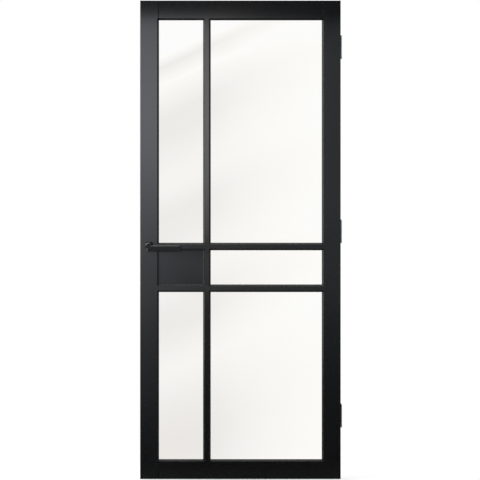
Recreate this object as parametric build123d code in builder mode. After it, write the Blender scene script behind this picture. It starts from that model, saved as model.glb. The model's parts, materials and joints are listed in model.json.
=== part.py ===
"""A steel-look glass door leaf: two stiles, two rails and slim glazing bars in black lacquered wood, five
panes of clear glass, a closed panel beside the latch, a flat lever on each face, and three butt hinges.

Frame: X runs across the leaf, towards its hinges. Y runs through its thickness, and the front faces -Y.
Z is up. The origin is on the flat face of the bottom hinge's frame plate, the face that is screwed to a door
frame, halfway up that plate and in the middle of the leaf's thickness. All sizes are in millimetres.
"""

import os

from build123d import *

os.makedirs("parts", exist_ok=True)

# The leaf and its grid of openings
leaf_width = 880.0
leaf_height = 2100.0
leaf_thickness = 40.0
stile_width = 81.0  # from the leaf's edge to the sight line of the glass
rail_width = 84.0
bar_width = 31.5  # from sight line to sight line
narrow_column_width = 196.0  # the column of openings beside the latch
lower_row_height = 737.0
middle_row_height = 152.0
edge_radius = 2.0  # the eased outer edges of the leaf
joint_groove = 1.2  # the fine groove where one member meets another

# The bevel round each opening, and the rebate behind it
bevel_width = 6.0
bevel_depth = 14.0
rebate_width = 10.0
glass_thickness = 4.0
gasket_thickness = 1.0
gasket_lip = 1.0  # how far a gasket shows inside the sight line
glass_edge_gap = 2.0
bead_gap = 0.1  # between a glazing bead and the wall of its rebate
bead_mitre_gap = 0.2

# The closed panel beside the latch
panel_field_thickness = 12.0
panel_field_gap = 0.3

# The lever, its rosette and the square spindle
spindle_height = 1025.0  # above the bottom of the leaf
spindle_backset = 40.0  # from the latch edge of the leaf
spindle_size = 8.0
spindle_end_gap = 1.0
socket_gap = 0.1
socket_depth = 26.0
lever_length = 145.0
lever_height = 26.0
lever_thickness = 9.0
lever_chamfer = 3.0
lever_start = 7.0  # how far the flat bar runs past the spindle, towards the latch edge
lever_projection = 56.0  # from the face of the leaf to the outer face of the lever
neck_diameter = 24.0
neck_rim = 3.0
neck_setback = 1.0  # from the bar's outer face to the end of the neck
neck_root_gap = 1.0  # from the face of the leaf to the neck
neck_running_gap = 0.3
rosette_diameter = 38.0
rosette_thickness = 8.0
rosette_rim = 1.5

# The magnetic mortise latch: its bolt lies flush in the faceplate while the door is open
faceplate_width = 20.0
faceplate_height = 174.0
faceplate_thickness = 3.0
case_thickness = 15.0
case_height = 130.0
case_tail = 22.0  # how far the case runs past the spindle
mortise_gap = 0.4
follower_diameter = 17.0
follower_gap = 0.08
follower_bore_gap = 3.0  # between the follower and the hole through the stile
latch_rise = 34.0  # from the spindle up to the middle of the bolt
latch_height = 26.0
latch_thickness = 12.0
latch_length = 30.0
latch_rim = 1.0
latch_window_gap = 0.3

# The butt hinges
hinge_height = 102.0
hinge_reach = 38.0  # from the pin to the free edge of a plate
hinge_plate_thickness = 3.0
hinge_gap = 3.0  # between the leaf's edge and the frame
hinge_corner_radius = 5.0
hinge_mortise_gap = 0.1
hinge_knuckle_count = 3
hinge_knuckle_diameter = 11.0
hinge_knuckle_gap = 0.3  # between knuckles, and between a knuckle and the back of the leaf
hinge_slot_gap = 0.4  # between a plate and the other plate's knuckles
hinge_pin_diameter = 6.0
hinge_pin_running_gap = 0.08
hinge_pin_held_gap = 0.02
hinge_pin_end = 1.0  # how far the pin stands out of the knuckles
hinge_outer_pitch = 78.0  # between the two screws near the free edge
hinge_outer_inset = 10.0  # from the free edge of the plate
hinge_inner_pitch = 26.0  # between the two screws near the pin
hinge_inner_inset = 20.0
screw_hole_radius = 2.5
top_hinge_inset = 150.0  # from the top of the leaf to the top of the top hinge
bottom_hinge_inset = 225.0  # from the bottom of the leaf to the bottom of the bottom hinge

# Places that follow from the sizes
half_thickness = leaf_thickness / 2
front = -half_thickness
back = half_thickness
seal_depth = glass_thickness / 2 + gasket_thickness  # from the middle of the leaf to the rebate's face

knuckle_radius = hinge_knuckle_diameter / 2
pin_x = -hinge_plate_thickness - hinge_gap / 2
pin_y = back + knuckle_radius + hinge_knuckle_gap
leaf_right = -hinge_plate_thickness - hinge_gap
leaf_left = leaf_right - leaf_width
leaf_bottom = -bottom_hinge_inset - hinge_height / 2
leaf_top = leaf_bottom + leaf_height
top_hinge_z = leaf_top - top_hinge_inset - hinge_height / 2
hinge_places = {"bottom": 0.0, "middle": top_hinge_z / 2, "top": top_hinge_z}

left_column_start = leaf_left + stile_width
left_column_end = left_column_start + narrow_column_width
right_column_start = left_column_end + bar_width
right_column_end = leaf_right - stile_width
lower_row_start = leaf_bottom + rail_width
lower_row_end = lower_row_start + lower_row_height
middle_row_start = lower_row_end + bar_width
middle_row_end = middle_row_start + middle_row_height
upper_row_start = middle_row_end + bar_width
upper_row_end = leaf_top - rail_width

left_column = (left_column_start, left_column_end)
right_column = (right_column_start, right_column_end)
lower_row = (lower_row_start, lower_row_end)
middle_row = (middle_row_start, middle_row_end)
upper_row = (upper_row_start, upper_row_end)

pane_openings = {
    "upper_left": (left_column, upper_row),
    "upper_right": (right_column, upper_row),
    "middle_right": (right_column, middle_row),
    "lower_left": (left_column, lower_row),
    "lower_right": (right_column, lower_row),
}
panel_opening = (left_column, middle_row)

spindle_x = leaf_left + spindle_backset
spindle_z = leaf_bottom + spindle_height
socket_size = spindle_size + 2 * socket_gap

# Planes on the two edges of the leaf, facing outwards, with their own X axis towards the back
latch_edge = Plane(origin=(leaf_left, 0, spindle_z), x_dir=(0, 1, 0), z_dir=(-1, 0, 0))
bolt_face = Plane(origin=(leaf_left, 0, spindle_z + latch_rise), x_dir=(0, 1, 0), z_dir=(-1, 0, 0))


def save(part, name):
    """Labels a finished piece and writes it to its own file."""
    part.label = name
    export_step(part, f"parts/{name}.step")


def upright(y):
    """An upright plane at depth y: sketches there are drawn in X and Z, and extrude towards the front."""
    return Plane.XZ.offset(-y)


def centre_of(opening):
    (x_low, x_high), (z_low, z_high) = opening
    return ((x_low + x_high) / 2, (z_low + z_high) / 2)


def size_of(opening, grow=0.0):
    """Width and height of an opening, grown by the same amount on all four sides."""
    (x_low, x_high), (z_low, z_high) = opening
    return (x_high - x_low + 2 * grow, z_high - z_low + 2 * grow)


def on_faces(edges, direction):
    """The edges along a direction that lie on the front or back face of the leaf."""
    along = edges.filter_by(direction)
    return along.filter_by(lambda edge: abs(abs(edge.center().Y) - half_thickness) < 0.01)


def hinge_face(hinge_z, side):
    """The plane on a hinge plate's inner face, at its pin. side is 1 on the frame's half, -1 on the leaf's."""
    return Plane(origin=(pin_x + side * hinge_gap / 2, pin_y, hinge_z), x_dir=(0, 1, 0), z_dir=(-side, 0, 0))


# Sections of the wooden members
def rebated_outline(width):
    """The section of a stile or rail, from its outer edge at 0 to the sight line of the glass at width."""
    with BuildSketch() as outline:
        with BuildLine():
            Polyline(
                (0, front),
                (width, front),
                (width, -seal_depth),
                (width - rebate_width, -seal_depth),
                (width - rebate_width, back),
                (0, back),
                close=True,
            )
        make_face()
    return outline.sketch


def bar_outline():
    """The T-shaped section of a glazing bar, centred on 0: a wide face and a web between the panes."""
    half = bar_width / 2
    with BuildSketch() as outline:
        with BuildLine():
            Polyline(
                (-half, front),
                (half, front),
                (half, -seal_depth),
                (half - rebate_width, -seal_depth),
                (half - rebate_width, back),
                (-half + rebate_width, back),
                (-half + rebate_width, -seal_depth),
                (-half, -seal_depth),
                close=True,
            )
        make_face()
    return outline.sketch


def plate_outline(grow=0.0):
    """A hinge plate, with the pin along its Y axis: square at the pin, and rounded at the free edge."""
    with BuildSketch() as outline:
        Rectangle(hinge_reach + grow, hinge_height + 2 * grow, align=(Align.MAX, Align.CENTER))
        fillet(outline.vertices().group_by(Axis.X)[0], radius=hinge_corner_radius)
    return outline.sketch


def bevel_cutter(openings):
    """The tapered pockets that bevel the front edges round some openings, with a mitre at each corner."""
    with BuildPart() as cutter:
        for opening in openings:
            with BuildSketch(upright(front)):
                with Locations(centre_of(opening)):
                    Rectangle(*size_of(opening, bevel_width))
            with BuildSketch(upright(front + bevel_depth)):
                with Locations(centre_of(opening)):
                    Rectangle(*size_of(opening))
            loft()
    return cutter.part


all_bevels = bevel_cutter([*pane_openings.values(), panel_opening])


# Stiles
def stile_blank(plane):
    """A stile as it is first planed, before its edges are shaped or any hardware is let in."""
    with BuildPart() as stile:
        with BuildSketch(plane):
            add(rebated_outline(stile_width))
        extrude(amount=leaf_height)
    return stile.part


def outer_edges(part, edge_x):
    """The edges of a stile that lie on the outside of the leaf: two upright ones and four at its ends."""
    along = part.edges().filter_by(Axis.Z)
    outside = along.filter_by(lambda edge: abs(edge.center().X - edge_x) < 0.01)
    return outside + on_faces(part.edges(), Axis.X)


latch_stile_blank = stile_blank(Plane(origin=(leaf_left, 0, leaf_bottom), x_dir=(1, 0, 0), z_dir=(0, 0, 1)))
hinge_stile_blank = stile_blank(Plane(origin=(leaf_right, 0, leaf_top), x_dir=(-1, 0, 0), z_dir=(0, 0, -1)))

with BuildPart() as latch_stile:
    add(latch_stile_blank)
    fillet(outer_edges(latch_stile.part, leaf_left), radius=edge_radius)
    add(all_bevels, mode=Mode.SUBTRACT)
    # The recess for the faceplate, and the mortise for the case behind it
    with BuildSketch(latch_edge):
        SlotOverall(faceplate_height, faceplate_width, rotation=90)
    extrude(amount=-faceplate_thickness, mode=Mode.SUBTRACT)
    with BuildSketch(latch_edge):
        Rectangle(case_thickness + 2 * mortise_gap, case_height + 2 * mortise_gap)
    extrude(amount=-(spindle_backset + case_tail + mortise_gap), mode=Mode.SUBTRACT)
    # The hole for the spindle and follower, from face to face
    with BuildSketch(upright(back)):
        with Locations((spindle_x, spindle_z)):
            Circle(follower_diameter / 2 + follower_bore_gap)
    extrude(amount=leaf_thickness, mode=Mode.SUBTRACT)
save(latch_stile.part, "latch_stile")

with BuildPart() as hinge_stile:
    add(hinge_stile_blank)
    fillet(outer_edges(hinge_stile.part, leaf_right), radius=edge_radius)
    add(all_bevels, mode=Mode.SUBTRACT)
    # A recess for each hinge plate, open at the back
    for hinge_z in hinge_places.values():
        with BuildSketch(hinge_face(hinge_z, -1)):
            add(plate_outline(hinge_mortise_gap))
        extrude(amount=-hinge_plate_thickness, mode=Mode.SUBTRACT)
save(hinge_stile.part, "hinge_stile")


# Rails: they butt against the stiles at the front, and run on into the stiles' rebates at the back
def rail_blank(plane):
    """A rail between the stiles, before its edges are shaped."""
    with BuildPart() as blank:
        with BuildSketch(plane):
            add(rebated_outline(rail_width))
        extrude(amount=right_column_end - left_column_start + 2 * rebate_width)
        add(latch_stile_blank, mode=Mode.SUBTRACT)
        add(hinge_stile_blank, mode=Mode.SUBTRACT)
    return blank.part


def rail(blank, outer_z):
    """A finished rail. Its outer edges are eased, and a fine groove marks each joint."""
    with BuildPart() as made:
        add(blank)
        chamfer(on_faces(made.edges(), Axis.Z), length=joint_groove)
        long_edges = on_faces(made.edges(), Axis.X)
        fillet(long_edges.filter_by(lambda edge: abs(edge.center().Z - outer_z) < 0.01), radius=edge_radius)
        add(all_bevels, mode=Mode.SUBTRACT)
    return made.part


rail_start = left_column_start - rebate_width
rail_end = right_column_end + rebate_width
bottom_rail_blank = rail_blank(Plane(origin=(rail_end, 0, leaf_bottom), x_dir=(0, 0, 1), z_dir=(-1, 0, 0)))
top_rail_blank = rail_blank(Plane(origin=(rail_start, 0, leaf_top), x_dir=(0, 0, -1), z_dir=(1, 0, 0)))
save(rail(bottom_rail_blank, leaf_bottom), "bottom_rail")
save(rail(top_rail_blank, leaf_top), "top_rail")

# Glazing bars: the upright one runs from rail to rail, and the level ones butt against it
upright_bar_start = lower_row_start - rebate_width
upright_bar_x = (left_column_end + right_column_start) / 2
upright_bar_plane = Plane(origin=(upright_bar_x, 0, upright_bar_start), x_dir=(1, 0, 0), z_dir=(0, 0, 1))

with BuildPart() as upright_bar_blank:
    with BuildSketch(upright_bar_plane):
        add(bar_outline())
    extrude(amount=upper_row_end + rebate_width - upright_bar_start)

with BuildPart() as upright_bar:
    add(upright_bar_blank.part)
    add(bottom_rail_blank, mode=Mode.SUBTRACT)
    add(top_rail_blank, mode=Mode.SUBTRACT)
    chamfer(on_faces(upright_bar.edges(), Axis.X), length=joint_groove)
    add(all_bevels, mode=Mode.SUBTRACT)
save(upright_bar.part, "upright_bar")


def level_bar(column, row_below, stile):
    """A level glazing bar across one column, above one row, cut to fit the members at its ends."""
    x_low, x_high = column
    bar_z = row_below[1] + bar_width / 2
    with BuildPart() as made:
        with BuildSketch(Plane(origin=(x_low - rebate_width, 0, bar_z), x_dir=(0, 0, -1), z_dir=(1, 0, 0))):
            add(bar_outline())
        extrude(amount=x_high - x_low + 2 * rebate_width)
        add(stile, mode=Mode.SUBTRACT)
        add(upright_bar_blank.part, mode=Mode.SUBTRACT)
        chamfer(on_faces(made.edges(), Axis.Z), length=joint_groove)
        add(all_bevels, mode=Mode.SUBTRACT)
    return made.part


for row_name, row_below in {"lower": lower_row, "upper": middle_row}.items():
    save(level_bar(left_column, row_below, latch_stile_blank), f"{row_name}_left_bar")
    save(level_bar(right_column, row_below, hinge_stile_blank), f"{row_name}_right_bar")


# Glass, gaskets and glazing beads
def pane(opening):
    """A sheet of glass that runs into the rebates on all sides."""
    with BuildPart() as made:
        with BuildSketch(upright(glass_thickness / 2)):
            with Locations(centre_of(opening)):
                Rectangle(*size_of(opening, rebate_width - glass_edge_gap))
        extrude(amount=glass_thickness)
    return made.part


def gasket(opening):
    """Two flat rubber rings, one on each face of the glass."""
    with BuildPart() as made:
        for face_y in (seal_depth, -glass_thickness / 2):
            with BuildSketch(upright(face_y)):
                with Locations(centre_of(opening)):
                    Rectangle(*size_of(opening, rebate_width - glass_edge_gap))
                    Rectangle(*size_of(opening, -gasket_lip), mode=Mode.SUBTRACT)
            extrude(amount=gasket_thickness)
    return made.part


def beads(opening):
    """Four mitred beads that hold a pane or panel from the back, bevelled like the front."""
    (x_low, x_high), (z_low, z_high) = opening
    with BuildPart() as made:
        with BuildSketch(upright(back)):
            with Locations(centre_of(opening)):
                Rectangle(*size_of(opening, rebate_width - bead_gap))
                Rectangle(*size_of(opening), mode=Mode.SUBTRACT)
        extrude(amount=back - seal_depth)
        with BuildSketch(upright(back)):
            with Locations(centre_of(opening)):
                Rectangle(*size_of(opening, bevel_width))
        with BuildSketch(upright(back - bevel_depth)):
            with Locations(centre_of(opening)):
                Rectangle(*size_of(opening))
        loft(mode=Mode.SUBTRACT)
        # A hairline at each mitre
        rising_mitres = ((x_low, z_low), (x_high, z_high))
        falling_mitres = ((x_low, z_high), (x_high, z_low))
        with BuildSketch(upright(back)):
            with Locations(*rising_mitres):
                Rectangle(4 * rebate_width, bead_mitre_gap, rotation=45)
            with Locations(*falling_mitres):
                Rectangle(4 * rebate_width, bead_mitre_gap, rotation=-45)
        extrude(amount=back - seal_depth, mode=Mode.SUBTRACT)
    return made.part


for place, opening in pane_openings.items():
    save(pane(opening), f"glass_{place}")
    save(gasket(opening), f"gasket_{place}")
    save(beads(opening), f"beads_{place}")
save(beads(panel_opening), "beads_latch_panel")

# The closed panel: a thin tongue in the rebates and a thicker field that fills the opening
with BuildPart() as latch_panel:
    with BuildSketch(upright(seal_depth)):
        with Locations(centre_of(panel_opening)):
            Rectangle(*size_of(panel_opening, rebate_width - glass_edge_gap))
    extrude(amount=2 * seal_depth)
    with BuildSketch(upright(panel_field_thickness / 2)):
        with Locations(centre_of(panel_opening)):
            Rectangle(*size_of(panel_opening, -panel_field_gap))
    extrude(amount=panel_field_thickness)
save(latch_panel.part, "latch_panel")

# The mortise latch
with BuildPart() as latch_faceplate:
    with BuildSketch(latch_edge):
        SlotOverall(faceplate_height, faceplate_width, rotation=90)
    extrude(amount=-faceplate_thickness)
    with BuildSketch(bolt_face):
        Rectangle(latch_thickness + 2 * latch_window_gap, latch_height + 2 * latch_window_gap)
    extrude(amount=-faceplate_thickness, mode=Mode.SUBTRACT)
save(latch_faceplate.part, "latch_faceplate")

with BuildPart() as latch_case:
    with BuildSketch(latch_edge.offset(-faceplate_thickness)):
        Rectangle(case_thickness, case_height)
    extrude(amount=-(spindle_backset + case_tail - faceplate_thickness))
    with BuildSketch(upright(case_thickness / 2)):
        with Locations((spindle_x, spindle_z)):
            Circle(follower_diameter / 2 + follower_gap)
    extrude(amount=case_thickness, mode=Mode.SUBTRACT)
    with BuildSketch(bolt_face):
        Rectangle(latch_thickness + 2 * latch_window_gap, latch_height + 2 * latch_window_gap)
    extrude(amount=-latch_length, mode=Mode.SUBTRACT)
save(latch_case.part, "latch_case")

with BuildPart() as latch_bolt:
    with BuildSketch(bolt_face):
        Rectangle(latch_thickness, latch_height)
    extrude(amount=-latch_length)
    chamfer(latch_bolt.edges().group_by(Axis.X)[0], length=latch_rim)
save(latch_bolt.part, "latch_bolt")

with BuildPart() as latch_follower:
    with BuildSketch(upright(case_thickness / 2)):
        with Locations((spindle_x, spindle_z)):
            Circle(follower_diameter / 2)
            Rectangle(socket_size, socket_size, mode=Mode.SUBTRACT)
    extrude(amount=case_thickness)
save(latch_follower.part, "latch_follower")

# The rosettes, levers and spindle: the front ones are made here, and the back ones mirror them
with BuildPart() as front_rosette:
    with BuildSketch(upright(front)):
        with Locations((spindle_x, spindle_z)):
            Circle(rosette_diameter / 2)
    extrude(amount=rosette_thickness)
    chamfer(front_rosette.edges().group_by(Axis.Y)[0], length=rosette_rim)
    with BuildSketch(upright(front)):
        with Locations((spindle_x, spindle_z)):
            Circle(neck_diameter / 2 + neck_running_gap)
    extrude(amount=rosette_thickness, mode=Mode.SUBTRACT)
save(front_rosette.part, "front_rosette")

with BuildPart() as back_rosette:
    mirror(front_rosette.part, about=Plane.XZ)
save(back_rosette.part, "back_rosette")

neck_root_y = front - neck_root_gap
bar_outer_y = front - lever_projection

with BuildPart() as neck:
    with BuildSketch(upright(neck_root_y)):
        with Locations((spindle_x, spindle_z)):
            Circle(neck_diameter / 2)
    extrude(amount=neck_root_y - bar_outer_y - neck_setback)
    chamfer(neck.edges().group_by(Axis.Y)[0], length=neck_rim)

with BuildPart() as front_lever:
    # The flat bar hangs from the middle of the neck
    with BuildSketch(upright(bar_outer_y + lever_thickness)):
        with Locations((spindle_x - lever_start, spindle_z)):
            Rectangle(lever_length, lever_height, align=(Align.MIN, Align.MAX))
    extrude(amount=lever_thickness)
    chamfer(front_lever.edges().group_by(Axis.Y)[0], length=lever_chamfer)
    add(neck.part)
    with BuildSketch(upright(neck_root_y)):
        with Locations((spindle_x, spindle_z)):
            Rectangle(socket_size, socket_size)
    extrude(amount=socket_depth, mode=Mode.SUBTRACT)
save(front_lever.part, "front_lever")

with BuildPart() as back_lever:
    mirror(front_lever.part, about=Plane.XZ)
save(back_lever.part, "back_lever")

with BuildPart() as spindle:
    spindle_reach = socket_depth - neck_root_y - spindle_end_gap
    with BuildSketch(upright(spindle_reach)):
        with Locations((spindle_x, spindle_z)):
            Rectangle(spindle_size, spindle_size)
    extrude(amount=2 * spindle_reach)
save(spindle.part, "spindle")

# The hinges: the frame's half has the outer knuckles and holds the pin, and the leaf's half turns on it
knuckle_pitch = (hinge_height + hinge_knuckle_gap) / hinge_knuckle_count
knuckle_height = knuckle_pitch - hinge_knuckle_gap


def knuckle_cylinders(hinge_z, indices, radius, grow=0.0):
    """A cylinder round the pin at each numbered knuckle, longer than the knuckle by grow at both ends."""
    with BuildPart() as cylinders:
        for index in indices:
            start = hinge_z - hinge_height / 2 + index * knuckle_pitch
            with BuildSketch(Plane.XY.offset(start - grow)):
                with Locations((pin_x, pin_y)):
                    Circle(radius)
            extrude(amount=knuckle_height + 2 * grow)
    return cylinders.part


def hinge_half(hinge_z, side, first_knuckle, bore_gap):
    """One half of a hinge: its plate and its knuckles. The frame's half has open screw holes."""
    own = range(first_knuckle, hinge_knuckle_count, 2)
    others = range(1 - first_knuckle, hinge_knuckle_count, 2)
    knuckles = knuckle_cylinders(hinge_z, own, knuckle_radius)
    bores = knuckle_cylinders(hinge_z, own, hinge_pin_diameter / 2 + bore_gap)
    slots = knuckle_cylinders(hinge_z, others, knuckle_radius + hinge_slot_gap, hinge_knuckle_gap)
    inner_face = hinge_face(hinge_z, side)
    with BuildPart() as half:
        with BuildSketch(inner_face):
            add(plate_outline())
        extrude(amount=-hinge_plate_thickness)
        add(slots, mode=Mode.SUBTRACT)
        add(knuckles)
        add(bores, mode=Mode.SUBTRACT)
        if side > 0:
            outer_x = hinge_outer_inset - hinge_reach
            inner_x = hinge_inner_inset - hinge_reach
            with Locations(inner_face):
                with Locations(
                    (outer_x, -hinge_outer_pitch / 2),
                    (outer_x, hinge_outer_pitch / 2),
                    (inner_x, -hinge_inner_pitch / 2),
                    (inner_x, hinge_inner_pitch / 2),
                ):
                    Hole(screw_hole_radius)
    return half.part


def hinge_pin(hinge_z):
    """A pin that fills the knuckles from end to end and stands a little out of them."""
    with BuildPart() as pin:
        with BuildSketch(Plane.XY.offset(hinge_z)):
            with Locations((pin_x, pin_y)):
                Circle(hinge_pin_diameter / 2)
        extrude(amount=hinge_height / 2 + hinge_pin_end, both=True)
    return pin.part


for place, hinge_z in hinge_places.items():
    save(hinge_half(hinge_z, 1, 0, hinge_pin_held_gap), f"{place}_hinge_frame_plate")
    save(hinge_half(hinge_z, -1, 1, hinge_pin_running_gap), f"{place}_hinge_leaf_plate")
    save(hinge_pin(hinge_z), f"{place}_hinge_pin")
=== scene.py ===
"""Looks of the steel-look glass door: finishes for its members, glass and hardware, its screws, the bead
round its closed panel, and a plain studio.

Lengths are in metres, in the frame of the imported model: X across the leaf towards its hinges, the front
towards -Y, Z up.
"""

import json
import math

import bmesh
import bpy
from mathutils import Matrix, Vector


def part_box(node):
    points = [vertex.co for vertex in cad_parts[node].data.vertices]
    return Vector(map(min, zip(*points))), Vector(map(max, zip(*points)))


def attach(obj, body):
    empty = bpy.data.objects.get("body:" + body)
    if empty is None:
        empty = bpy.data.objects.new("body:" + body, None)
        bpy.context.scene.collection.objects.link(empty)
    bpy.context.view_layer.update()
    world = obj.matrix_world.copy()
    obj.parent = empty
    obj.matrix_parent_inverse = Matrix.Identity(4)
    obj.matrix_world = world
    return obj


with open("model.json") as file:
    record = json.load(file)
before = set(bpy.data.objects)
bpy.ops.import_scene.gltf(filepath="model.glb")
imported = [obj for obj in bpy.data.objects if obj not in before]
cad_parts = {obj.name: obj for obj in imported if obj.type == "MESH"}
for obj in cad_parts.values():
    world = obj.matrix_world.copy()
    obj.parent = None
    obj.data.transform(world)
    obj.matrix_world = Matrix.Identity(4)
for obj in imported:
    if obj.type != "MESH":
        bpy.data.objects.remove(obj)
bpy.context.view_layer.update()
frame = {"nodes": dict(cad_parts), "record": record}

PIECES = frame["nodes"]

# The photograph's view
PHOTO_SIDE = 480
PHOTO_LEFT_EDGE = 140.1  # pixel columns of the leaf's two edges, halfway up
PHOTO_RIGHT_EDGE = 340.7
PHOTO_MIDDLE = 240.0
PHOTO_LEAF_TOP = 0.4  # pixel row of the leaf's top
CAMERA_DISTANCE = 8.0  # from the front of the leaf
CAMERA_REACH = 100
SENSOR_WIDTH = 36.0

# Edges that the finish rounds
LACQUER_EDGE = 0.0012
HARDWARE_EDGE = 0.0022
EDGE_SAMPLES = 8

# How fine the noises in the finishes are, in waves a metre
LACQUER_CLOUDS = 3.5
LACQUER_SHEEN = 60.0
LACQUER_PEEL = 420.0
HARDWARE_SPECKLE = 900.0
HARDWARE_SHEEN = 40.0
STEEL_BRUSHING = (2500.0, 2500.0, 60.0)  # along X, Y and Z
STEEL_CLOUDS = 25.0
RUBBER_BLOOM = 90.0
RUBBER_GRAIN = 1500.0

# The darker and the lighter colour of each finish, and the values of its noise where they are reached
LACQUER_COLOURS = ((0.3, (0.0034, 0.0036, 0.0041)), (0.7, (0.0044, 0.0046, 0.0051)))
HARDWARE_COLOURS = ((0.3, (0.0105, 0.0109, 0.0116)), (0.7, (0.0140, 0.0145, 0.0153)))
STEEL_COLOURS = ((0.3, (0.46, 0.455, 0.445)), (0.7, (0.62, 0.615, 0.60)))
RUBBER_COLOURS = ((0.3, (0.010, 0.010, 0.010)), (0.75, (0.020, 0.020, 0.021)))

# The least and the greatest roughness of each finish, and what its clouds or brush marks add to it
LACQUER_ROUGHNESS = (0.205, 0.235)
LACQUER_CLOUDED = (-0.012, 0.012)
HARDWARE_ROUGHNESS = (0.20, 0.26)
STEEL_ROUGHNESS = (0.30, 0.38)
STEEL_BRUSHED = (-0.05, 0.05)
RUBBER_ROUGHNESS = (0.72, 0.85)
LOWER_BARS_DULLER = 0.20  # how much rougher the lower pair of level bars is

# The bumps of each finish as (strength, height)
LACQUER_BUMPS = (0.08, 0.0004)
HARDWARE_BUMPS = (0.12, 0.0002)
STEEL_BUMPS = (0.08, 0.0001)
RUBBER_BUMPS = (0.2, 0.0001)

# The groove along the joints of the rails with the stiles
GROOVE_HALF_WIDTH = 0.0020
GROOVE_DEPTH = 0.0020
GROOVE_BUMP = (1.0, 1.0)  # its height is in metres already

# The glass
GLASS_IOR = 1.28
# Painted reflection streaks in the glass's colour: how steeply they rise to the right and how much they
# wobble
STREAK_SLOPE = 0.45
STREAK_WOBBLE = 0.03
STREAK_WOBBLES = 1.6  # waves a metre
# Its painted reflections, warm streaks in its colour, as (metres below the leaf's top at the latch edge, how
# deep), in an upper and a lower half
PAINTED_REFLECTIONS_ABOVE = (
    (0.0, 0.10), (0.20, 0.0), (0.27, 0.0), (0.318, 0.75), (0.35, 0.5), (0.40, 0.10), (0.48, 0.50),
    (0.55, 0.80), (0.64, 0.80), (0.72, 0.62), (0.81, 0.45), (0.88, 0.45), (1.00, 0.80), (1.10, 0.75),
)
PAINTED_REFLECTIONS_BELOW = (
    (1.10, 0.75), (1.20, 0.55), (1.29, 0.45), (1.40, 0.75), (1.48, 0.80), (1.58, 0.55), (1.67, 0.38),
    (1.78, 0.60), (1.90, 0.85), (2.02, 1.00), (2.14, 0.95), (2.40, 0.85),
)
PAINTED_REFLECTIONS_MIDDLE = 1.10
# How the painted reflection streaks fade with X
PAINTED_REFLECTION_FADE = (
    (-0.80, 1.0), (-0.60, 0.95), (-0.55, 0.85), (-0.45, 0.60), (-0.32, 0.36), (-0.18, 0.20), (-0.09, 0.14),
)
# The glass's colour at a depth of the painted reflection streaks
PAINTED_REFLECTION_TINTS = (
    (0.0, (1.0, 1.0, 0.996)), (0.10, (1.0, 0.995, 0.968)), (0.17, (0.994, 0.976, 0.947)),
    (0.31, (0.963, 0.951, 0.920)), (0.5, (0.931, 0.917, 0.894)), (0.7, (0.889, 0.874, 0.851)),
    (1.0, (0.843, 0.820, 0.788)),
)

# The bead round the closed panel
BEAD_RADIUS = 0.0035
BEAD_OUTWARDS = 0.0025  # from the sight line to the middle of the bead
BEAD_FORWARDS = 0.0040  # from the panel's face to the middle of the bead
BEAD_TURN = 105  # degrees from its inner side to where it meets the bevel
BEAD_SEGMENTS = 14

# Screws
SCREW_HEAD_RADIUS = 0.0046
SCREW_HEAD_DEPTH = 0.0004
SCREW_HEAD_PROUD = 0.00015
SCREW_HEAD_TOP = 0.96  # radius of the head's flat top, as a part of its whole radius
SCREW_RECESS_DEPTH = 0.0016
SCREW_RECESS_REACH = 0.0028
SCREW_RECESS_HALF_WIDTH = 0.0006
SCREW_FLOOR_REACH = 0.55  # the recess at its floor, as a part of its size at the top
SCREW_FLOOR_WIDTH = 0.6
SCREW_SEGMENTS = 48
# Where the hinge screws are, from the middle of the leaf's thickness and of the hinge plate, as (Y, Z)
HINGE_SCREWS = ((-0.0022, 0.039), (0.0078, 0.013))
HINGE_PLATE = 0.003
LATCH_SCREW_INSET = 0.012

# How bright the studio is to matt surfaces and to gloss: in front, and what behind adds, more at its left
# and its top. The spans say where on the sphere of directions these begin and end.
AMBIENT = 0.45
GLOSS_IN_FRONT = 0.06
GLOSS_BEHIND = 0.05
GLOSS_LEFT = 0.45
GLOSS_ABOVE = 0.35
BEHIND_SPAN = (-0.2, 0.5)
LEFT_SPAN = (-0.7, 0.0)
ABOVE_SPAN = (0.1, 0.7)
HALF_A_BOUNCE = 0.5  # tells no bounce from one or more

# The floor
FLOOR_RADIUS = 7.0
FLOOR_SIDES = 64
FLOOR_GAP = 0.008
FLOOR_GLOSS = 0.06
FLOOR_ROUGHNESS = 0.8
FLOOR_SPECULAR = 0.2
FLOOR_CLOUDS = 2.0  # waves a metre
FLOOR_WHITES = (0.80, 0.84)
FLOOR_FADE = ((0.0, 0.3), (0.4, 0.6), (0.85, 0.97), (1.3, 1.0))  # (metres away, how much is plain white)

# The panels that the lacquer mirrors
PANEL_DISTANCE = 0.35
BACK_PANEL_DISTANCE = 0.95
PANEL_PEAK = 3.0
PANEL_MARGIN = 0.6
# The front panel's level where the leaf at a height mirrors it, as a part of its peak: the faint part all
# over it, and what the latch stile and the upright bar mirror on top of that
PANEL_FAINT = (
    (-0.28, 0.0), (-0.06, 0.014), (0.07, 0.026), (0.245, 0.050), (0.42, 0.084), (0.51, 0.12), (0.66, 0.15),
    (0.81, 0.165), (0.90, 0.185), (1.56, 0.197), (1.69, 0.16), (1.74, 0.07), (1.76, 0.0),
)
PANEL_AT_STILE = (
    (-0.23, 0.0), (-0.06, 0.025), (0.07, 0.050), (0.245, 0.085), (0.42, 0.14), (0.51, 0.18), (0.66, 0.215),
    (0.81, 0.35), (0.90, 0.42), (1.035, 0.56), (1.166, 0.73), (1.298, 0.79), (1.43, 0.79), (1.56, 0.73),
    (1.69, 0.665), (1.742, 0.62), (1.771, 0.0),
)
PANEL_AT_BAR = (
    (0.38, 0.0), (0.51, 0.0), (0.66, 0.12), (0.70, 0.12), (0.722, 0.0), (0.767, 0.0), (0.788, 0.25),
    (0.81, 0.28), (0.90, 0.43), (1.035, 0.68), (1.166, 0.76), (1.298, 0.87), (1.43, 0.82), (1.56, 0.76),
    (1.69, 0.62), (1.742, 0.49), (1.769, 0.0),
)
STILE_TO_BAR = (-0.86, -0.66)  # X on the panel where the one gives way to the other
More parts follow.
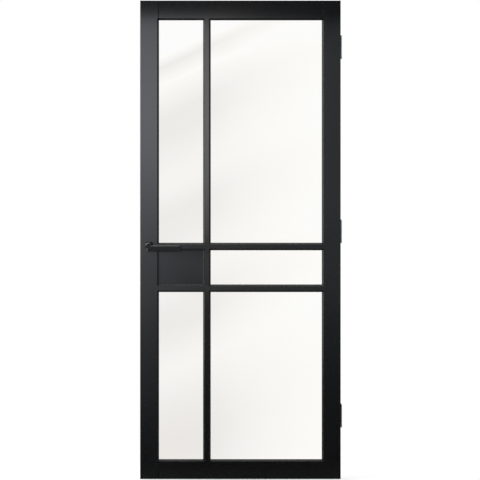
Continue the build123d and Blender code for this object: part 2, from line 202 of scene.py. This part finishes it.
# How the upper left part of the front panel fades across the leaf
PANEL_FADE = (
    (-1.4, 0.6), (-1.1, 1.0), (-0.58, 1.0), (-0.46, 0.6), (-0.34, 0.32), (-0.16, 0.10), (-0.06, 0.0),
)
# The front panel's tint at parts of the way along its span of X
PANEL_TINT_SPAN = (-0.9, 0.0)
PANEL_TINTS = (
    (0.0, (0.90, 0.94, 1.0)), (0.27, (0.88, 0.93, 1.0)), (0.34, (1.0, 0.97, 0.93)),
    (0.40, (1.0, 0.97, 0.93)), (0.85, (0.86, 0.93, 1.0)),
)
# The back panel's level at a height, as a part of its peak
PANEL_BACK = ((-0.20, 0.02), (0.70, 0.12), (1.10, 0.32), (1.50, 0.52), (1.76, 0.55), (1.80, 0.0))

# The lamps: name, place, width, height, watts, and which slots or nodes they leave out or light alone
LEVERS = ("front_lever", "back_lever")
LAMPS = (
    ("upper_left_lamp", (-2.4, -2.2, 3.8), 2.2, 2.2, 90, "EXCLUDE", ("clear_glass",)),
    ("left_lamp", (-3.6, -1.6, 1.2), 1.6, 2.0, 92, "EXCLUDE", ("clear_glass", *LEVERS)),
    ("right_lamp", (3.4, 0.9, 1.0), 1.6, 2.4, 45, "EXCLUDE", ("clear_glass", "plated_steel")),
    ("left_rim", (-3.4, 1.7, 1.4), 1.2, 2.0, 50, "EXCLUDE", ("clear_glass",)),
    ("top_rim", (-0.45, 1.6, 4.0), 2.4, 1.2, 60, "EXCLUDE", ("clear_glass",)),
    ("top_lamp", (-0.6, -0.5, 4.4), 2.0, 1.4, 50, "EXCLUDE", ("clear_glass", *LEVERS)),
    ("metal_back_lamp", (3.0, 2.4, 1.2), 3.0, 3.0, 30, "INCLUDE", ("plated_steel",)),
    ("metal_front_lamp", (0.6, -5.0, 0.8), 6.0, 6.0, 330, "INCLUDE", ("plated_steel",)),
    ("metal_left_lamp", (-3.6, 0.2, 1.2), 3.0, 3.0, 30, "INCLUDE", ("plated_steel",)),
    ("lever_front_lamp", (-0.2, -6.0, 0.7), 6.0, 6.0, 150, "INCLUDE", ("black_metal",)),
    ("lever_top_lamp", (-0.9, -0.3, 3.0), 5.0, 2.0, 112, "INCLUDE", LEVERS),
    ("lever_left_lamp", (-3.2, -0.4, 2.7), 1.4, 1.4, 65, "INCLUDE", LEVERS),
)


def leaf_box():
    low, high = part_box("latch_stile")
    far_low, far_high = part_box("hinge_stile")
    return Vector(map(min, low, far_low)), Vector(map(max, high, far_high))


LEAF_LOW, LEAF_HIGH = leaf_box()
LEAF_MIDDLE = (LEAF_LOW + LEAF_HIGH) / 2
METRES_A_PIXEL = (LEAF_HIGH.x - LEAF_LOW.x) / (PHOTO_RIGHT_EDGE - PHOTO_LEFT_EDGE)


# Node trees
class Shade:
    """A node tree, with short calls for the nodes that several looks share."""

    def __init__(self, tree, place):
        self.tree = tree
        self.place = self.add("ShaderNodeTexCoord").outputs[place]

    def add(self, kind, **settings):
        node = self.tree.nodes.new(kind)
        for key, value in settings.items():
            setattr(node, key, value)
        return node

    def link(self, output, socket):
        self.tree.links.new(output, socket)

    def give(self, value, socket):
        """Links another node's output to a socket, or sets a plain number on it."""
        if isinstance(value, (int, float)):
            socket.default_value = value
        else:
            self.link(value, socket)

    def axes(self):
        """The three coordinates of the place."""
        node = self.add("ShaderNodeSeparateXYZ")
        self.link(self.place, node.inputs["Vector"])
        return node.outputs["X"], node.outputs["Y"], node.outputs["Z"]

    def stretched(self, scale):
        """The place, scaled along each axis."""
        mapping = self.add("ShaderNodeMapping")
        mapping.inputs["Scale"].default_value = scale
        self.link(self.place, mapping.inputs["Vector"])
        return mapping.outputs["Vector"]

    def noise(self, scale, detail=2.0, vector=None):
        node = self.add("ShaderNodeTexNoise")
        node.inputs["Scale"].default_value = scale
        node.inputs["Detail"].default_value = detail
        self.link(vector or self.place, node.inputs["Vector"])
        return node.outputs["Fac"]

    def spread(self, value, low, high, from_low=0.3, from_high=0.7):
        """A value from from_low..from_high, spread over low..high. Most of a noise lies in 0.3..0.7."""
        node = self.add("ShaderNodeMapRange")
        node.inputs["From Min"].default_value = from_low
        node.inputs["From Max"].default_value = from_high
        node.inputs["To Min"].default_value = low
        node.inputs["To Max"].default_value = high
        self.link(value, node.inputs["Value"])
        return node.outputs["Result"]

    def maths(self, operation, first, second):
        node = self.add("ShaderNodeMath", operation=operation)
        self.give(first, node.inputs[0])
        self.give(second, node.inputs[1])
        return node.outputs["Value"]

    def total(self, first, *others):
        for other in others:
            first = self.maths("ADD", first, other)
        return first

    def product(self, first, *others):
        for other in others:
            first = self.maths("MULTIPLY", first, other)
        return first

    def away(self, value, middle):
        """How far a value is from a middle, to either side."""
        return self.maths("ABSOLUTE", self.maths("SUBTRACT", value, middle), 0.0)

    def between(self, amount, first, second):
        """From the first level to the second one, as the amount goes from 0 to 1."""
        kept = self.product(self.maths("SUBTRACT", 1.0, amount), first)
        return self.total(kept, self.product(amount, second))

    def ramp(self, value, stops):
        """A colour ramp with stops of (position, (red, green, blue))."""
        node = self.add("ShaderNodeValToRGB")
        elements = node.color_ramp.elements
        while len(elements) < len(stops):
            elements.new(1.0)
        for element, (position, colour) in zip(elements, stops):
            element.position = position
            element.color = (*colour, 1.0)
        self.link(value, node.inputs["Fac"])
        return node.outputs["Color"]

    def profile(self, value, stops):
        """A level that follows stops of (value, level)."""
        low, high = stops[0][0], stops[-1][0]
        share = self.spread(value, 0.0, 1.0, low, high)
        return self.ramp(share, [((at - low) / (high - low), (level,) * 3) for at, level in stops])

    def rays(self):
        """Two outputs that are 1 or 0: the camera sees it straight or through glass, and gloss sees it."""
        path = self.add("ShaderNodeLightPath")
        direct = self.maths("MAXIMUM", path.outputs["Is Camera Ray"], path.outputs["Is Transmission Ray"])
        bounces = self.total(path.outputs["Glossy Depth"], path.outputs["Diffuse Depth"])
        glossy = self.maths("GREATER_THAN", path.outputs["Glossy Depth"], HALF_A_BOUNCE)
        return self.product(direct, self.maths("LESS_THAN", bounces, HALF_A_BOUNCE)), glossy


class Finish(Shade):
    """A new material with a Principled shader."""

    def __init__(self, name):
        self.material = bpy.data.materials.new(name)
        self.material.use_nodes = True
        self.shader = self.material.node_tree.nodes["Principled BSDF"]
        self.output = self.material.node_tree.nodes["Material Output"]
        super().__init__(self.material.node_tree, "Object")

    def set(self, **values):
        for key, value in values.items():
            self.shader.inputs[key.replace("_", " ")].default_value = value

    def colour(self, output):
        self.link(output, self.shader.inputs["Base Color"])

    def roughness(self, output):
        self.link(output, self.shader.inputs["Roughness"])

    def bump(self, height, strength, distance, under=None):
        """Bumps of a height, on the normals under them where some are given. Returns the new normals."""
        node = self.add("ShaderNodeBump")
        node.inputs["Strength"].default_value = strength
        node.inputs["Distance"].default_value = distance
        self.link(height, node.inputs["Height"])
        if under:
            self.link(under, node.inputs["Normal"])
        self.link(node.outputs["Normal"], self.shader.inputs["Normal"])
        return node.outputs["Normal"]

    def rounded(self, radius):
        """The normals of the piece with its edges rounded to a radius."""
        node = self.add("ShaderNodeBevel", samples=EDGE_SAMPLES)
        node.inputs["Radius"].default_value = radius
        return node.outputs["Normal"]

    def mix(self, amount, first, second):
        """Shows the first shader, and the second one as the amount goes to 1."""
        node = self.add("ShaderNodeMixShader")
        self.link(amount, node.inputs["Fac"])
        self.link(first, node.inputs[1])
        self.link(second, node.inputs[2])
        self.link(node.outputs["Shader"], self.output.inputs["Surface"])


def joint_grooves(finish):
    """The height of the face along the joints of the rails with the stiles, with a fine groove in them."""
    x, _, z = finish.axes()
    low_joint, high_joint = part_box("latch_stile")[1].x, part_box("hinge_stile")[0].x
    low_sight, high_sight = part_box("bottom_rail")[1].z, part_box("top_rail")[0].z
    from_middle = finish.away(x, (low_joint + high_joint) / 2)
    from_joint = finish.away(from_middle, (high_joint - low_joint) / 2)
    groove = finish.spread(from_joint, -GROOVE_DEPTH, 0.0, 0.0, GROOVE_HALF_WIDTH)
    along = finish.away(z, (low_sight + high_sight) / 2)
    return finish.product(groove, finish.maths("GREATER_THAN", along, (high_sight - low_sight) / 2))


def lower_bars(finish):
    """1 on the lower pair of level bars and where they cross the upright bar, else 0."""
    x, _, z = finish.axes()
    low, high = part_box("lower_left_bar")[0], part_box("lower_right_bar")[1]
    across = finish.away(x, (low.x + high.x) / 2)
    height = finish.away(z, (low.z + high.z) / 2)
    beside = finish.maths("LESS_THAN", across, (high.x - low.x) / 2)
    return finish.product(beside, finish.maths("LESS_THAN", height, (high.z - low.z) / 2))


def lacquer():
    """Black satin lacquer on wood: a fine orange peel, and faintly cloudy in its colour and its sheen."""
    finish = Finish("black_lacquer_look")
    clouds = finish.noise(LACQUER_CLOUDS, detail=4)
    finish.colour(finish.ramp(clouds, LACQUER_COLOURS))
    sheen = finish.spread(finish.noise(LACQUER_SHEEN, detail=3), *LACQUER_ROUGHNESS)
    duller = finish.product(lower_bars(finish), LOWER_BARS_DULLER)
    finish.roughness(finish.total(finish.spread(clouds, *LACQUER_CLOUDED), sheen, duller))
    peel = finish.bump(finish.noise(LACQUER_PEEL), *LACQUER_BUMPS, finish.rounded(LACQUER_EDGE))
    finish.bump(joint_grooves(finish), *GROOVE_BUMP, peel)
    return finish.material


def hardware_black():
    """Black powder coat on the levers and rosettes, a little finer and glossier than the leaf."""
    finish = Finish("black_metal_look")
    speckle = finish.noise(HARDWARE_SPECKLE)
    finish.colour(finish.ramp(speckle, HARDWARE_COLOURS))
    finish.roughness(finish.spread(finish.noise(HARDWARE_SHEEN, detail=3), *HARDWARE_ROUGHNESS))
    finish.bump(speckle, *HARDWARE_BUMPS, finish.rounded(HARDWARE_EDGE))
    return finish.material


def plated_steel():
    """Satin plated steel: fine upright brush marks and a slight cloudiness."""
    finish = Finish("plated_steel_look")
    brushed = finish.noise(1.0, detail=3, vector=finish.stretched(STEEL_BRUSHING))
    finish.colour(finish.ramp(brushed, STEEL_COLOURS))
    clouds = finish.spread(finish.noise(STEEL_CLOUDS), *STEEL_ROUGHNESS)
    finish.roughness(finish.total(finish.spread(brushed, *STEEL_BRUSHED), clouds))
    finish.set(Metallic=1.0)
    finish.bump(brushed, *STEEL_BUMPS)
    return finish.material


def rubber():
    """Matt black rubber with a faint bloom."""
    finish = Finish("black_rubber_look")
    bloom = finish.noise(RUBBER_BLOOM, detail=4)
    finish.colour(finish.ramp(bloom, RUBBER_COLOURS))
    finish.roughness(finish.spread(bloom, *RUBBER_ROUGHNESS))
    finish.bump(finish.noise(RUBBER_GRAIN), *RUBBER_BUMPS)
    return finish.material


def clear_glass():
    """Clear glass with faint warm streaks of painted reflection in its colour, that rise to the right and
    fade away from the latch side.
    """
    finish = Finish("clear_glass_look")
    finish.set(Transmission_Weight=1.0, Roughness=0.0, IOR=GLASS_IOR)
    x, _, z = finish.axes()
    rise = finish.product(finish.maths("SUBTRACT", x, LEAF_LOW.x), STREAK_SLOPE)
    wobble = finish.spread(finish.noise(STREAK_WOBBLES), -STREAK_WOBBLE, STREAK_WOBBLE)
    below = finish.total(finish.maths("SUBTRACT", LEAF_HIGH.z, z), rise, wobble)
    lower_half = finish.maths("GREATER_THAN", below, PAINTED_REFLECTIONS_MIDDLE)
    upper, lower = finish.profile(below, PAINTED_REFLECTIONS_ABOVE), finish.profile(below, PAINTED_REFLECTIONS_BELOW)
    reflection_depth = finish.product(finish.between(lower_half, upper, lower), finish.profile(x, PAINTED_REFLECTION_FADE))
    # Painted reflection: the streaks make the glass's colour warmer and darker
    finish.colour(finish.ramp(reflection_depth, PAINTED_REFLECTION_TINTS))
    shadow = finish.add("ShaderNodeLightPath").outputs["Is Shadow Ray"]
    clear = finish.add("ShaderNodeBsdfTransparent").outputs["BSDF"]
    finish.mix(shadow, finish.shader.outputs["BSDF"], clear)
    return finish.material


LOOKS = {
    "black_lacquer": lacquer(),
    "clear_glass": clear_glass(),
    "black_rubber": rubber(),
    "black_metal": hardware_black(),
    "plated_steel": plated_steel(),
}


def dress(piece, look):
    piece.data.materials.clear()
    piece.data.materials.append(look)


def slots_of_nodes():
    """The record's material slot of each CAD node."""
    return {part["node"]: part["material_slot"] for part in frame["record"]["subparts"]}


def dress_nodes():
    """Gives each CAD node the look of its material slot."""
    for name, slot in slots_of_nodes().items():
        dress(PIECES[name], LOOKS[slot])


# Pieces that the scene adds
def skin(mesh, rings):
    """Closes the strip between each ring of corners and the next one."""
    for outer, inner in zip(rings, rings[1:]):
        for step in range(len(outer)):
            following = (step + 1) % len(outer)
            mesh.faces.new((outer[step], outer[following], inner[following], inner[step]))


def new_piece(name, data):
    piece = bpy.data.objects.new(name, data)
    bpy.context.scene.collection.objects.link(piece)
    return piece


def dressed_piece(name, mesh, look):
    """A piece from a bmesh, which is used up."""
    data = bpy.data.meshes.new(name)
    mesh.to_mesh(data)
    mesh.free()
    piece = new_piece(name, data)
    dress(piece, look)
    return piece


SCREWS = []


def recess_radius(angle, reach, half_width):
    """How far a cross-shaped recess reaches from its middle at an angle."""
    across, along = sorted((abs(math.cos(angle)), abs(math.sin(angle))))
    if across * reach > half_width * along:
        return half_width / across
    return reach / along


def screw_heads(name, body, points, outwards):
    """Countersunk screw heads with cross recesses, flush at points, facing along outwards, as one piece."""
    turn = outwards.to_track_quat("Z", "Y").to_matrix().to_4x4()
    floor_reach = SCREW_RECESS_REACH * SCREW_FLOOR_REACH
    floor_half_width = SCREW_RECESS_HALF_WIDTH * SCREW_FLOOR_WIDTH
    rims = (
        (SCREW_HEAD_RADIUS, None, -SCREW_HEAD_DEPTH),
        (SCREW_HEAD_RADIUS, None, 0.0),
        (SCREW_HEAD_RADIUS * SCREW_HEAD_TOP, None, SCREW_HEAD_PROUD),
        (SCREW_RECESS_REACH, SCREW_RECESS_HALF_WIDTH, SCREW_HEAD_PROUD),
        (floor_reach, floor_half_width, -SCREW_RECESS_DEPTH),
    )
    mesh = bmesh.new()
    for point in points:
        place = Matrix.Translation(point) @ turn
        rings = []
        for radius, half_width, height in rims:
            ring = []
            for step in range(SCREW_SEGMENTS):
                angle = math.tau * step / SCREW_SEGMENTS
                reach = recess_radius(angle, radius, half_width) if half_width else radius
                corner = Vector((reach * math.cos(angle), reach * math.sin(angle), height))
                ring.append(mesh.verts.new(place @ corner))
            rings.append(ring)
        skin(mesh, rings)
        mesh.faces.new(rings[-1])
    piece = dressed_piece(name, mesh, LOOKS["plated_steel"])
    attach(piece, body)
    SCREWS.append(piece)


def hinge_screws(hinge):
    low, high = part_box(f"{hinge}_hinge_leaf_plate")
    middle = (low.z + high.z) / 2
    points = []
    for y, z in HINGE_SCREWS:
        for side in (-1, 1):
            points.append(Vector((low.x + HINGE_PLATE, y, middle + side * z)))
    screw_heads(f"{hinge}_hinge_screws", "leaf", points, Vector((1, 0, 0)))


def latch_screws():
    low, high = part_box("latch_faceplate")
    y = (low.y + high.y) / 2
    points = [Vector((low.x, y, z)) for z in (low.z + LATCH_SCREW_INSET, high.z - LATCH_SCREW_INSET)]
    screw_heads("latch_screws", "leaf", points, Vector((-1, 0, 0)))


def panel_bead():
    """A round bead in the corner between the closed panel and the bevels round it, mitred at its corners."""
    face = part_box("latch_panel")[0].y
    low_x, high_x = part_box("latch_stile")[1].x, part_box("upright_bar")[0].x
    low_z, high_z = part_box("lower_left_bar")[1].z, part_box("upper_left_bar")[0].z
    profile = []
    for step in range(BEAD_SEGMENTS + 1):
        turn = math.radians(BEAD_TURN) * (1 - step / BEAD_SEGMENTS)
        profile.append((math.cos(turn) * BEAD_RADIUS, BEAD_FORWARDS + math.sin(turn) * BEAD_RADIUS))
    profile.append((BEAD_RADIUS, 0.0))
    mesh = bmesh.new()
    rings = []
    for inwards, forwards in profile:
        inset = inwards - BEAD_OUTWARDS
        corners = (
            (low_x + inset, low_z + inset), (high_x - inset, low_z + inset),
            (high_x - inset, high_z - inset), (low_x + inset, high_z - inset),
        )
        rings.append([mesh.verts.new((x, face - forwards, z)) for x, z in corners])
    skin(mesh, rings)
    piece = dressed_piece("panel_bead", mesh, LOOKS["black_lacquer"])
    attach(piece, "leaf")


# The studio
def staged(name, corners, faces):
    data = bpy.data.meshes.new(name)
    data.from_pydata(corners, [], faces)
    piece = new_piece(name, data)
    return piece


def studio_world():
    """White to the camera, also through glass. Gloss sees it dark, and lighter behind at the left and top."""
    world = bpy.data.worlds.new("studio")
    world.use_nodes = True
    bpy.context.scene.world = world
    shade = Shade(world.node_tree, "Generated")
    x, y, z = shade.axes()
    behind = shade.spread(y, 0.0, 1.0, *BEHIND_SPAN)
    left = shade.spread(x, GLOSS_LEFT, 0.0, *LEFT_SPAN)
    above = shade.spread(z, 0.0, GLOSS_ABOVE, *ABOVE_SPAN)
    gloss = shade.total(shade.product(behind, shade.total(left, above, GLOSS_BEHIND)), GLOSS_IN_FRONT)
    seen, glossy = shade.rays()
    strength = shade.between(seen, shade.between(glossy, AMBIENT, gloss), 1.0)
    background = world.node_tree.nodes["Background"]
    background.inputs["Color"].default_value = (1, 1, 1, 1)
    shade.link(strength, background.inputs["Strength"])


def floor():
    """A pale floor just below the leaf, with its shadow near it, that turns plain white further out."""
    turns = [math.tau * step / FLOOR_SIDES for step in range(FLOOR_SIDES)]
    rim = [(FLOOR_RADIUS * math.cos(turn), FLOOR_RADIUS * math.sin(turn), 0) for turn in turns]
    piece = staged("floor", rim, [range(FLOOR_SIDES)])
    piece.location = (LEAF_MIDDLE.x, 0, LEAF_LOW.z - FLOOR_GAP)
    finish = Finish("floor_look")
    finish.set(Roughness=FLOOR_ROUGHNESS, Specular_IOR_Level=FLOOR_SPECULAR)
    seen, glossy = finish.rays()
    pale = finish.spread(finish.noise(FLOOR_CLOUDS, detail=4), *FLOOR_WHITES)
    finish.colour(finish.between(glossy, pale, FLOOR_GLOSS))
    away = finish.add("ShaderNodeVectorMath", operation="LENGTH")
    finish.link(finish.place, away.inputs[0])
    white = finish.product(seen, finish.profile(away.outputs["Value"], FLOOR_FADE))
    finish.mix(white, finish.shader.outputs["BSDF"], finish.add("ShaderNodeEmission").outputs["Emission"])
    dress(piece, finish.material)


def link_light(light, state, names):
    """Lights the named slots and nodes alone, with INCLUDE, or all but them, with EXCLUDE."""
    receivers = bpy.data.collections.new(f"{light.name}_receivers")
    light.light_linking.receiver_collection = receivers
    for name, slot in slots_of_nodes().items():
        if name in names or slot in names:
            receivers.objects.link(PIECES[name])
    if "plated_steel" in names:
        for screws in SCREWS:
            receivers.objects.link(screws)
    for entry in receivers.collection_objects:
        entry.light_linking.link_state = state


def lamp(name, location, width, height, power, state, names):
    """A soft lamp that faces the leaf's middle. The camera sees it neither straight nor through glass."""
    data = bpy.data.lights.new(name, "AREA")
    data.shape = "RECTANGLE"
    data.size = width
    data.size_y = height
    data.energy = power
    light = new_piece(name, data)
    light.location = location
    light.rotation_mode = "QUATERNION"
    light.rotation_quaternion = (LEAF_MIDDLE - Vector(location)).to_track_quat("-Z", "Y")
    light.visible_camera = False
    light.visible_transmission = False
    link_light(light, state, names)


def camera_place():
    """Where the camera stands: level with the middle of the picture, straight in front of the leaf."""
    x = LEAF_LOW.x + (PHOTO_MIDDLE - PHOTO_LEFT_EDGE) * METRES_A_PIXEL
    z = LEAF_HIGH.z - (PHOTO_MIDDLE - PHOTO_LEAF_TOP) * METRES_A_PIXEL
    return Vector((x, LEAF_LOW.y - CAMERA_DISTANCE, z))


def mirrored(stops, middle):
    """Stops at places on the leaf, moved to where the camera sees them mirrored on the front panel."""
    ratio = 1 + PANEL_DISTANCE / CAMERA_DISTANCE
    return [(middle + (at - middle) * ratio, level) for at, level in stops]


def glossy_panel(name, low_x, high_x, y, unlit):
    """A panel as tall as the leaf that only gloss sees, but not on the unlit slots. Returns its finish."""
    corners = [(x, y, z) for x in (low_x, high_x) for z in (LEAF_LOW.z, LEAF_HIGH.z)]
    piece = staged(name, corners, [(0, 2, 3, 1)])
    piece.visible_camera = False
    piece.visible_transmission = False
    piece.visible_diffuse = False
    piece.visible_shadow = False
    link_light(piece, "EXCLUDE", unlit)
    finish = Finish(f"{name}_look")
    dress(piece, finish.material)
    return finish


def glow(finish, level, tint=None):
    """Makes a panel shine at a level, as a part of its peak."""
    emission = finish.add("ShaderNodeEmission")
    if tint:
        finish.link(tint, emission.inputs["Color"])
    finish.link(finish.product(level, PANEL_PEAK), emission.inputs["Strength"])
    finish.link(emission.outputs["Emission"], finish.output.inputs["Surface"])


def front_panel():
    """What the lacquer mirrors in the photograph: brightest at the upper left, and cut off at the top."""
    middle = camera_place()
    low_x, high_x = LEAF_LOW.x - PANEL_MARGIN, LEAF_HIGH.x + PANEL_MARGIN
    finish = glossy_panel(
        "front_panel", low_x, high_x, LEAF_LOW.y - PANEL_DISTANCE, ("clear_glass", "black_metal"),
    )
    x, _, z = finish.axes()
    faint, at_stile, at_bar = (
        finish.profile(z, mirrored(stops, middle.z)) for stops in (PANEL_FAINT, PANEL_AT_STILE, PANEL_AT_BAR)
    )
    fade = finish.profile(x, mirrored(PANEL_FADE, middle.x))
    strong = finish.between(finish.spread(x, 0.0, 1.0, *STILE_TO_BAR), at_stile, at_bar)
    tint = finish.ramp(finish.spread(x, 0.0, 1.0, *PANEL_TINT_SPAN), PANEL_TINTS)
    glow(finish, finish.total(faint, finish.product(strong, fade)), tint)


def back_panel():
    """Lights the back from above, as wide as the leaf."""
    y = LEAF_HIGH.y + BACK_PANEL_DISTANCE
    finish = glossy_panel("back_panel", LEAF_LOW.x, LEAF_HIGH.x, y, ("clear_glass",))
    glow(finish, finish.profile(finish.axes()[2], PANEL_BACK))


def camera():
    """The photograph's view: straight from the front, with the leaf's edges where they are there."""
    data = bpy.data.cameras.new("camera")
    data.sensor_width = SENSOR_WIDTH
    data.lens = SENSOR_WIDTH * CAMERA_DISTANCE / (PHOTO_SIDE * METRES_A_PIXEL)
    data.clip_end = CAMERA_REACH
    view = new_piece("camera", data)
    view.location = camera_place()
    view.rotation_euler = (math.radians(90), 0, 0)
    bpy.context.scene.camera = view


dress_nodes()
for hinge in ("bottom", "middle", "top"):
    hinge_screws(hinge)
latch_screws()
panel_bead()

floor()
studio_world()
front_panel()
back_panel()
for settings in LAMPS:
    lamp(*settings)
camera()

bpy.context.scene.view_settings.view_transform = "Standard"
